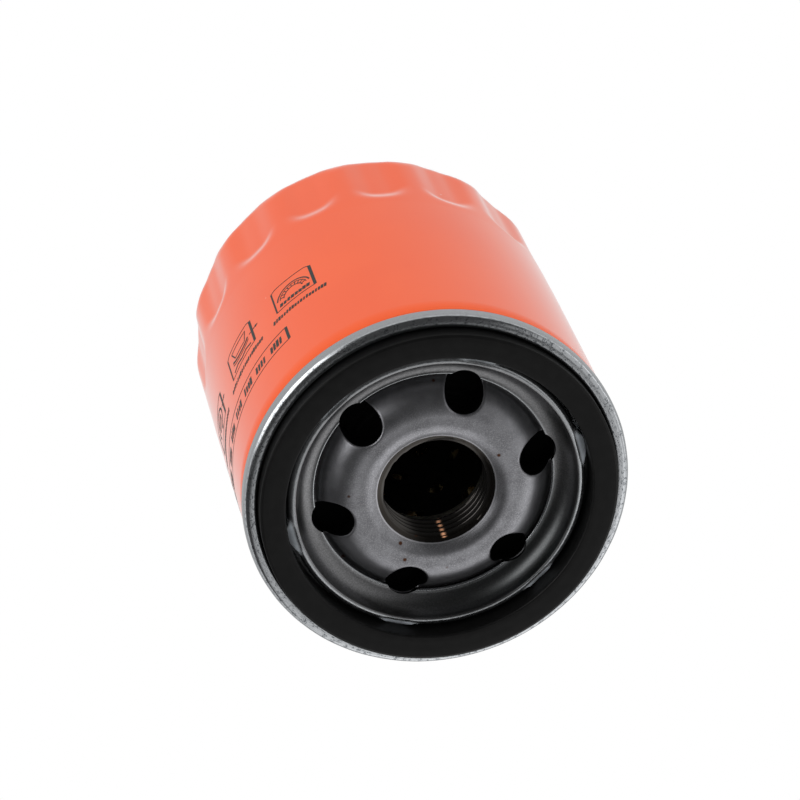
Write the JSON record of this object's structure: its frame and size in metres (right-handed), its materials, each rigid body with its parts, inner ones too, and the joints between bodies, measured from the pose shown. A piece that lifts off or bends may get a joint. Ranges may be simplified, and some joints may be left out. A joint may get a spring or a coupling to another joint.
{
  "type": "spin-on engine oil filter",
  "caption": "Spin-on oil filter: fluted painted can, rolled seam, rubber gasket, ported base plate with threaded hub, pleated element, drain-back and bypass valves.",
  "frame": {"origin": "centre of the closed end's standing face, on the filter axis", "axes": "+Z along the filter axis from the closed fluted end to the open end with thread and gasket"},
  "size_m": [0.068, 0.068, 0.0776],
  "materials": {
    "orange_paint": "gloss baked enamel",
    "bright_sheet": "rolled, scratched bright sheet",
    "seam_compound": "soft lining compound",
    "phosphated_plate": "matte phosphated, lightly oiled",
    "black_rubber": "moulded nitrile, satin",
    "valve_rubber": "moulded nitrile, satin",
    "tinned_sheet": "tinned sheet, satin",
    "potting": "cured plastisol",
    "filter_paper": "resin-cured paper",
    "spring_steel": "oiled spring steel",
    "valve_steel": "zinc-plated, satin"
  },
  "bodies": {
    "filter": {"can": "orange_paint", "seaming_lid": "bright_sheet", "seam_compound": "seam_compound", "base_plate": "phosphated_plate", "gasket": "black_rubber", "upper_end_cap": "tinned_sheet", "upper_potting": "potting", "pleated_media": "filter_paper", "media_clip": "tinned_sheet", "centre_tube": "tinned_sheet", "lower_potting": "potting", "lower_end_cap": "tinned_sheet", "support_spring": "spring_steel", "bypass_seat": "valve_steel", "bypass_cage": "valve_steel", "bypass_spring": "spring_steel"},
    "bypass_valve": {"bypass_disc": "valve_steel", "bypass_seal": "black_rubber", "bypass_stem": "valve_steel"},
    "drainback_lip": {"anti_drainback_valve": "valve_rubber"}
  },
  "joints": [
    {"name": "bypass_lift", "type": "slide", "parent": "filter", "child": "bypass_valve", "axis": [0, 0, 1], "range_m": [0, 0.003], "stiffness_N_per_m": 1000, "springref_m": -0.0085, "deforming": ["bypass_spring"]},
    {"name": "drainback_lift", "type": "slide", "parent": "filter", "child": "drainback_lip", "axis": [0, 0, -1], "range_m": [0, 0.0015], "stiffness_N_per_m": 400, "springref_m": -0.001, "deforming": ["anti_drainback_valve"]}
  ]
}
